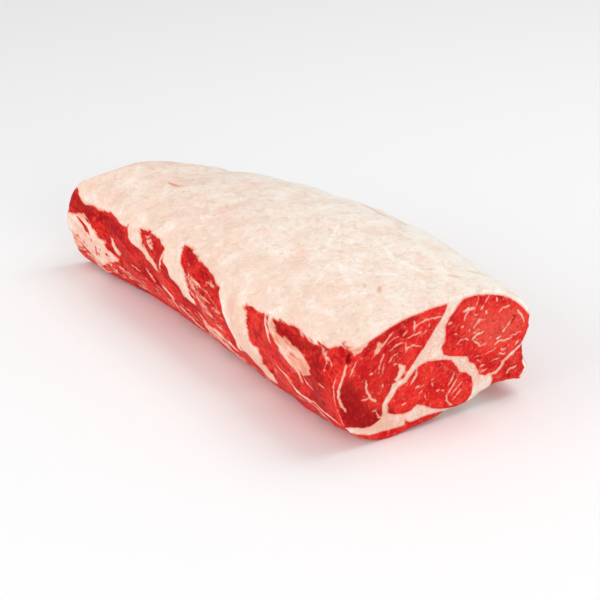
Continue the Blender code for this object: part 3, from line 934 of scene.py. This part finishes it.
class Meat:
    """The nodes of one meat material, with short names for those used most."""

    def __init__(self, tree, colours):
        self.tree, self.colours = tree, colours
        self.place = self.node("ShaderNodeTexCoord").outputs["Object"]
        self.fat, self.tone, self.cut, self.seam = (
            self.node("ShaderNodeAttribute", attribute_name=label).outputs["Fac"]
            for label in ("fat", "tone", "cut", "seam"))
        # Along the sides the fibres and the skin fat run down towards the near end, and knots
        # of fibres are 1.7 times as long as wide. On a cut the fine fat lies aslant, up
        # towards the eye of the loin.
        self.run = self.drawn_out(0.0, 18.0, (7.0, 1.0, 1.0))
        self.knots = self.drawn_out(0.0, 35.0, (1.7, 1.0, 1.0))
        self.lie = self.drawn_out(45.0, 0.0, (1.0, 1.6, 1.0))
        # Bundles of fibres: 1.8 mm on a cut, long streaks on the sides.
        self.grain = self.either(self.cut, self.noise(self.run, 1.6, 4.0, 0.65),
                                 self.noise(self.lie, 1.8, 3.0, 0.65))

    def node(self, kind, inputs=None, **settings):
        return add_node(self.tree, kind, inputs, **settings)

    def math_of(self, operation, a, b=0.0, c=0.0):
        return self.node("ShaderNodeMath", {0: a, 1: b, 2: c}, operation=operation).outputs[0]

    def times(self, *values):
        product = values[0]
        for value in values[1:]:
            product = self.math_of("MULTIPLY", product, value)
        return product

    def times_plus(self, a, b, c):
        return self.math_of("MULTIPLY_ADD", a, b, c)

    def noise(self, vector, size, detail=2.0, rough=0.5, twist=0.0, output="Fac"):
        """Noise whose lumps are about this many millimetres across."""
        return self.node("ShaderNodeTexNoise", {
            "Vector": vector, "Scale": 1.0 / (size * MM), "Detail": detail, "Roughness": rough,
            "Distortion": twist}).outputs[output]

    def drawn_out(self, turn_x, turn_y, scale):
        """The place, in coordinates turned by these degrees and stretched."""
        return self.node("ShaderNodeMapping", {
            "Vector": self.place, "Scale": scale,
            "Rotation": (math.radians(turn_x), math.radians(turn_y), 0.0)},
            vector_type="TEXTURE").outputs["Vector"]

    def rise(self, value, low, high, to_low=0.0, to_high=1.0):
        """Go smoothly from one result to another as the value goes from low to high."""
        return self.node("ShaderNodeMapRange", {
            "Value": value, "From Min": low, "From Max": high, "To Min": to_low,
            "To Max": to_high}, interpolation_type="SMOOTHSTEP").outputs["Result"]

    def ridge(self, value, width):
        """1 where the noise crosses its middle, falling to 0 on both sides."""
        off = self.math_of("ABSOLUTE", self.math_of("SUBTRACT", value, 0.5))
        return self.rise(off, 0.0, width, 1.0, 0.0)

    def either(self, share, a, b):
        return self.node("ShaderNodeMix", {0: share, 2: a, 3: b}, data_type="FLOAT").outputs[0]

    def mixed(self, share, a, b):
        return self.node("ShaderNodeMix", {0: share, 6: a, 7: b}, data_type="RGBA").outputs[2]

    def over(self, below, colour, *shares):
        """A colour of the meat laid over what is below, by the product of the shares."""
        return self.mixed(self.times(*shares), below, self.colours[colour])


def fat_edge(meat):
    """Distance into the fat with a ragged edge: 5 mm and 1.5 mm teeth, and long streaks on
    the sides."""
    teeth = meat.times_plus(meat.noise(meat.place, 1.5, 1.0), 0.8, -1.2)
    teeth = meat.times_plus(meat.noise(meat.place, 5.0, 2.0), 1.6, teeth)
    streaks = meat.times_plus(meat.noise(meat.run, 2.4, 3.0, 0.6), 5.0, -2.5)
    side_edge = meat.math_of("ADD", meat.fat, meat.times_plus(teeth, 0.7, streaks))
    return meat.either(meat.cut, side_edge, meat.times_plus(teeth, 0.85, meat.fat))


def marbling(meat):
    """Thin broken lines of fat, winding on a cut, drawn out on the sides."""
    noise, rise = meat.noise, meat.rise
    winding = meat.times(meat.ridge(noise(meat.lie, 4.0, 3.0, 0.55, 0.6), 0.030),
                         rise(noise(meat.place, 5.0, 2.0), 0.46, 0.62, 0.0, 1.1))
    long_lines = meat.times(meat.ridge(noise(meat.run, 3.4, 3.0, 0.55), 0.040),
                            rise(noise(meat.place, 11.0, 1.0), 0.42, 0.60, 0.0, 1.4))
    on_sides = meat.times(meat.math_of("MAXIMUM", long_lines, winding), 0.7)
    return meat.times(meat.either(meat.cut, on_sides, winding), WEB_SHARE,
                      rise(meat.tone, 0.0, -1.0, 1.0, 0.35))


def lean_colour(meat):
    """Muscle: wet red, paler and darker in bundles, knots and bruises, darker too where the tone
    is dark, which in places is painted shade, and marbled.
    """
    noise, rise, either = meat.noise, meat.rise, meat.either
    place, tone, cut, grain = meat.place, meat.tone, meat.cut, meat.grain
    mottle = noise(meat.knots, 2.8, 3.0, 0.65)
    lean = meat.colours["lean"]
    for colour, *shares in (
            ("lean_bright", rise(noise(place, 16.0, 2.0), 0.35, 0.65)),
            ("lean_pale", rise(tone, 0.0, 1.0, 0.0, 0.8)),
            ("lean_pale", rise(grain, 0.50, 0.66), either(cut, 0.10, 0.38)),
            ("lean_dark_and_shade", rise(tone, 0.0, -1.0, 0.0, 0.84)),
            ("lean_bright", rise(mottle, 0.52, 0.62), either(cut, 0.75, 0.1),
             rise(tone, 0.0, -1.0, 1.0, 0.72)),
            ("lean_dark_and_shade", rise(mottle, 0.48, 0.37), either(cut, 0.68, 0.3)),
            ("lean_dark_and_shade", rise(noise(meat.run, 4.5, 2.0, 0.55), 0.47, 0.36),
             either(cut, 0.34, 0.0)),
            ("lean_dark_and_shade", rise(grain, 0.50, 0.36), either(cut, 0.55, 0.30)),
            ("lean_dark_and_shade", rise(noise(place, 9.0, 3.0, 0.6), 0.48, 0.36),
             either(cut, 0.55, 0.22))):
        lean = meat.over(lean, colour, *shares)
    web = meat.mixed(cut, meat.colours["web"], meat.colours["salmon"])
    return meat.mixed(marbling(meat), lean, web)


def fat_creases(meat):
    """Faint creases between lobes of fat that are 13 mm across, for the bumps and for painted
    shade in them.
    """
    bent = meat.node("ShaderNodeVectorMath", {
        0: meat.noise(meat.place, 6.0, 3.0, output="Color"), 1: (12.0 * MM,) * 3,
        2: meat.place}, operation="MULTIPLY_ADD").outputs[0]
    lobes = meat.node("ShaderNodeTexVoronoi", {"Vector": bent, "Scale": 1.0 / (13.0 * MM)},
                      feature="DISTANCE_TO_EDGE").outputs["Distance"]
    return meat.times(meat.rise(lobes, 0.0, 0.09, 1.0, 0.0),
                      meat.rise(meat.noise(meat.place, 8.0, 2.0), 0.47, 0.64))


def fat_colour(meat, edge, creases):
    """Fat: cream, rosier down the left side and on a cut, with painted light across the cap that
    makes it darker on the left and whiter on the right, tan and rosy blotches, whiter flakes,
    painted shade in its creases, and the lean showing through at its edge."""
    noise, rise, either, over = meat.noise, meat.rise, meat.either, meat.over
    place, tone, cut = meat.place, meat.tone, meat.cut
    across = meat.node("ShaderNodeSeparateXYZ", {0: place}).outputs["Y"]
    to_lit_right = rise(across, -0.01, 0.08)
    specks = noise(place, 2.2, 3.0, 0.65)
    cut_fat = over(meat.colours["fat_cut"], "fat_light", rise(specks, 0.50, 0.68, 0.0, 0.7))
    cut_fat = over(cut_fat, "salmon", rise(specks, 0.46, 0.32, 0.0, 0.45))
    # Painted light: the cap's fat grows darker and rosier to the left and whiter to the right,
    # where more light falls, over its own cream.
    fat = over(meat.colours["fat_left"], "fat", rise(across, -0.085, 0.0))
    fat = meat.mixed(meat.seam, over(fat, "fat_right_lit", to_lit_right), cut_fat)
    fat = over(fat, "fat_pink", rise(noise(place, 26.0, 4.0, 0.6), 0.46, 0.64),
               either(to_lit_right, 0.55, 0.15))
    for size, low, high, share, colour in (
            (11.0, 0.48, 0.68, 0.55, "fat_tan"), (4.0, 0.50, 0.70, 0.60, "fat_pink"),
            (16.0, 0.48, 0.68, 0.60, "fat_light"), (5.0, 0.50, 0.72, 0.45, "fat_light"),
            (1.3, 0.55, 0.70, 0.55, "fat_tan"), (0.9, 0.56, 0.70, 0.35, "fat_mark_and_shade")):
        spots = rise(noise(place, size, 4.0, 0.62, 0.3), low, high)
        if colour != "fat_light":
            spots = meat.times(spots, rise(to_lit_right, 0.0, 1.0, 1.0, 0.5))
        fat = over(fat, colour, spots, share)
    for colour, *shares in (
            # painted shade in the creases, in the colour of the marks
            ("fat_mark_and_shade", creases, 0.24),
            # darker fat where the tone is dark, in part painted shade under the cap's edge
            ("fat_mark_and_shade", rise(tone, 0.0, -1.0, 0.0, 0.85), either(cut, 1.0, 0.4)),
            ("fat_light", rise(tone, 0.1, 0.9, 0.0, 0.8),
             rise(noise(place, 3.5, 3.0, 0.6), 0.42, 0.56)),
            ("salmon", rise(edge, 0.3, 1.8, 0.6, 0.0))):
        fat = over(fat, colour, *shares)
    return fat


def meat_material(name, colours, roughness):
    """Raw beef, freshly cut: moist muscle with fat in and over it, told apart by the painted
    distance. The muscle gives a wet red with fine fibres, the fat a waxy cream."""
    material = bpy.data.materials.new(name)
    material.use_nodes = True
    tree = material.node_tree
    tree.nodes.clear()
    meat = Meat(tree, colours)
    edge, creases = fat_edge(meat), fat_creases(meat)
    is_fat = meat.rise(edge, -0.6, 0.6)

    bumps = meat.times_plus(meat.noise(meat.place, 3.5, 3.0), 0.6, meat.times(meat.grain, 0.8))
    bumps = meat.times_plus(is_fat, 0.25, bumps)
    bumps = meat.times_plus(meat.times(creases, is_fat), -0.5, bumps)
    normal = meat.node("ShaderNodeBump", {"Strength": 0.7, "Distance": 0.5 * MM,
                                          "Height": bumps}).outputs["Normal"]
    rough = meat.times_plus(meat.noise(meat.place, 4.0, 2.0), 0.22, roughness - 0.11)
    shader = meat.node("ShaderNodeBsdfPrincipled", {
        "Base Color": meat.mixed(is_fat, lean_colour(meat), fat_colour(meat, edge, creases)),
        "Roughness": meat.times_plus(is_fat, 0.08, rough), "IOR": 1.4,
        "Specular IOR Level": 0.05, "Normal": normal, "Subsurface Weight": 0.06,
        "Subsurface Radius": (1.0, 0.35, 0.22), "Subsurface Scale": 2.5 * MM})
    meat.node("ShaderNodeOutputMaterial", {"Surface": shader.outputs[0]})
    return material


def colours_of(settings):
    """The colours of the meat by their names."""
    return {label: tuple(getattr(settings, label)) for label in settings.__annotations__}


# ---- settings ---------------------------------------------------------------
def colour_setting(name, description, code):
    """A colour, its default given as an sRGB hex code."""
    return bpy.props.FloatVectorProperty(name=name, description=description, size=3,
                                         subtype="COLOR", min=0.0, max=1.0,
                                         default=linear(code))


def length_setting(name, description, millimetres):
    """A length, its default given in millimetres."""
    return bpy.props.FloatProperty(name=name, description=description, unit="LENGTH",
                                   default=millimetres * MM, precision=5)


class StriploinShape(bpy.types.PropertyGroup):
    """Sizes of the nets and of the relief."""

    skin_cuts: bpy.props.IntProperty(
        name="Skin cuts", description="Cuts of every edge of the solids' skin",
        default=9, min=1, max=12)
    near_net: length_setting("Near net", "Spacing of the points on the near cut face", 0.75)
    far_net: length_setting("Far net", "Spacing of the points on the far cut face", 1.5)
    fat_rise: length_setting("Fat rise", "How far fat stands over lean on the skin", 1.6)
    lean_rise: length_setting("Lean rise", "How far lean swells over fat on a cut", 0.9)
    lump: length_setting("Lumps", "Height of the skin's lumps", 1.0)
    edge_round: length_setting("Edge", "How far the cut's edge is worn back", 0.8)


class StriploinColours(bpy.types.PropertyGroup):
    """Colours of the meat."""

    lean: colour_setting("Lean", "Muscle, freshly cut", "#D81C20")
    lean_bright: colour_setting("Bright lean", "Muscle in the light", "#EE352C")
    lean_pale: colour_setting("Pale lean", "Muscle full of fine fat", "#EC5546")
    # Dark lean also carries painted shade, where the tone is dark under the cap's edge and in
    # holes.
    lean_dark_and_shade: colour_setting("Dark lean", "Muscle in folds", "#930A11")
    web: colour_setting("Web", "Fine web over the muscle of the sides", "#E8563C")
    salmon: colour_setting("Salmon", "Fat so thin that the lean shows through", "#F0967C")
    fat: colour_setting("Fat", "Hard back fat", "#F7E8DA")
    # The left fat is rosier, and darker with painted shade; the right fat below is whiter with
    # painted light.
    fat_left: colour_setting("Left fat", "Back fat down the left side", "#F3D7C5")
    fat_right_lit: colour_setting("Right fat", "Back fat down the right side", "#F9F5EA")
    fat_cut: colour_setting("Cut fat", "Fat between the muscles", "#F0C6B3")
    fat_pink: colour_setting("Rosy fat", "Rosy blotches in the fat", "#F2C9BA")
    fat_tan: colour_setting("Tan fat", "Tan blotches in the fat", "#E3C9AE")
    # Real orange-brown marks, and painted shade too: in the fat's creases and where the tone is
    # dark.
    fat_mark_and_shade: colour_setting("Marks", "Orange-brown marks and folds in the fat", "#E09A78")
    fat_light: colour_setting("Light fat", "Whiter blotches in the fat", "#FCF6EE")


class StriploinStage(bpy.types.PropertyGroup):
    """The studio and the view of it."""

    floor: colour_setting("Floor", "Plain pale floor", "#FAFAFA")
    lens: bpy.props.FloatProperty(name="Lens", description="Focal length on a 36 mm sensor",
                                  default=108.0, unit="CAMERA", min=1.0)
    eye: bpy.props.FloatVectorProperty(name="Eye", description="Where the camera stands", size=3,
                                       subtype="TRANSLATION", unit="LENGTH",
                                       default=(1.17003, -0.76260, 0.67219), precision=5)
    pitch: bpy.props.FloatProperty(name="Pitch", subtype="ANGLE", default=math.radians(65.0),
                                   description="Tilt of the camera, from straight down")
    heading: bpy.props.FloatProperty(name="Heading", description="Turn of the camera about Z",
                                     subtype="ANGLE", default=math.radians(56.31))


# ---- operators --------------------------------------------------------------
class MESH_OT_striploin_fat(bpy.types.Operator):
    """Make the fat cap and the fat between the muscles"""

    bl_idname = "mesh.striploin_fat"
    bl_label = "Fat"

    def execute(self, context):
        scene = context.scene
        colours = colours_of(scene.striploin_colours)
        cap = meat_material("Hard back fat", colours, 0.42)
        seam = meat_material("Soft seam fat", colours, 0.40)
        make_piece("fat_cap", "fat_cap_skin", cap, scene.striploin_shape)
        make_piece("seam_fat", "seam_fat_layer", seam, scene.striploin_shape)
        return {"FINISHED"}


class MESH_OT_striploin_lean(bpy.types.Operator):
    """Make the muscles"""

    bl_idname = "mesh.striploin_lean"
    bl_label = "Lean"

    def execute(self, context):
        scene = context.scene
        colours = colours_of(scene.striploin_colours)
        lean = meat_material("Moist loin muscle", colours, 0.36)
        dark = meat_material("Moist side muscle", colours, 0.36)
        for node, name, slot, material in (
                ("eye_muscle", "eye_of_loin", "lean", lean),
                ("centre_muscle", "centre_of_loin", "lean", lean),
                ("bottom_strip", "bottom_strip_lean", "lean", lean),
                ("side_muscle", "side_of_loin", "dark_lean", dark)):
            make_piece(node, name, material, scene.striploin_shape)
        return {"FINISHED"}


class MESH_OT_striploin_join(bpy.types.Operator):
    """Make the shading run on evenly from piece to piece"""

    bl_idname = "mesh.striploin_join"
    bl_label = "Join the shading"

    def execute(self, context):
        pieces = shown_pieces()
        if len(pieces) != len(NODES):
            raise RuntimeError(f"all {len(NODES)} pieces are needed, and {len(pieces)} are there")
        share_normals(pieces)
        return {"FINISHED"}


class SCENE_OT_striploin_stage(bpy.types.Operator):
    """Set the floor, the lights and the camera"""

    bl_idname = "scene.striploin_stage"
    bl_label = "Stage"

    def execute(self, context):
        settings = context.scene.striploin_stage
        deselect_all()
        bpy.ops.mesh.primitive_plane_add(size=FLOOR_SIZE, location=(0.0, 0.0, 0.0))
        floor = context.object
        floor.name = "studio_floor"
        floor.data.materials.append(self.floor_material(tuple(settings.floor)))
        floor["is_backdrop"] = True
        for light in LIGHTS:
            self.light(*light)
        world = bpy.data.worlds.new("Studio air")
        world.use_nodes = True
        background = world.node_tree.nodes["Background"]
        background.inputs["Color"].default_value = (1.0, 1.0, 1.0, 1.0)
        background.inputs["Strength"].default_value = AIR_LIGHT
        context.scene.world = world
        context.scene.view_settings.view_transform = "Standard"
        bpy.ops.object.camera_add(location=settings.eye,
                                  rotation=(settings.pitch, 0.0, settings.heading))
        camera = context.object
        camera.name = "studio_camera"
        camera.data.sensor_width = 36.0
        camera.data.lens = settings.lens
        camera.data.clip_start, camera.data.clip_end = 0.01, 50.0
        context.scene.camera = camera
        return {"FINISHED"}

    @staticmethod
    def light(name, place, size, watts):
        """Add one soft square light that points at the meat."""
        bpy.ops.object.light_add(type="AREA", location=place)
        light = bpy.context.object
        light.name = name
        light.data.size = size
        light.data.energy = watts
        aim = Vector(LIT_PLACE) - Vector(place)
        light.rotation_euler = aim.to_track_quat("-Z", "Y").to_euler()

    @staticmethod
    def floor_material(colour):
        """Matt painted board: even and pale."""
        material = bpy.data.materials.new("Matt painted board")
        material.use_nodes = True
        tree = material.node_tree
        tree.nodes.clear()
        shader = add_node(tree, "ShaderNodeBsdfPrincipled", {"Base Color": colour,
                                                             "Roughness": 0.8})
        add_node(tree, "ShaderNodeOutputMaterial", {"Surface": shader.outputs[0]})
        return material


class VIEW3D_PT_striploin(bpy.types.Panel):
    """Lists the makers of the striploin and their settings"""

    bl_label = "Striploin"
    bl_space_type = "VIEW_3D"
    bl_region_type = "UI"
    bl_category = "Striploin"

    def draw(self, context):
        layout = self.layout
        for operator in OPERATORS:
            layout.operator(operator.bl_idname)
        for settings in (context.scene.striploin_shape, context.scene.striploin_colours,
                         context.scene.striploin_stage):
            box = layout.box()
            for label in settings.__annotations__:
                box.prop(settings, label)


SETTINGS = {"striploin_shape": StriploinShape, "striploin_colours": StriploinColours,
            "striploin_stage": StriploinStage}
OPERATORS = (MESH_OT_striploin_fat, MESH_OT_striploin_lean, MESH_OT_striploin_join,
             SCENE_OT_striploin_stage)


def register():
    """Add the settings, the operators and the panel to Blender."""
    for cls in (*SETTINGS.values(), *OPERATORS, VIEW3D_PT_striploin):
        bpy.utils.register_class(cls)
    for label, cls in SETTINGS.items():
        setattr(bpy.types.Scene, label, bpy.props.PointerProperty(type=cls))


def unregister():
    """Take them out again."""
    for label in SETTINGS:
        delattr(bpy.types.Scene, label)
    for cls in reversed((*SETTINGS.values(), *OPERATORS, VIEW3D_PT_striploin)):
        bpy.utils.unregister_class(cls)


def main():
    """Make the pieces and the stage in order."""
    register()
    bpy.ops.mesh.striploin_fat()
    bpy.ops.mesh.striploin_lean()
    bpy.ops.mesh.striploin_join()
    bpy.ops.scene.striploin_stage()


if __name__ == "__main__":
    main()
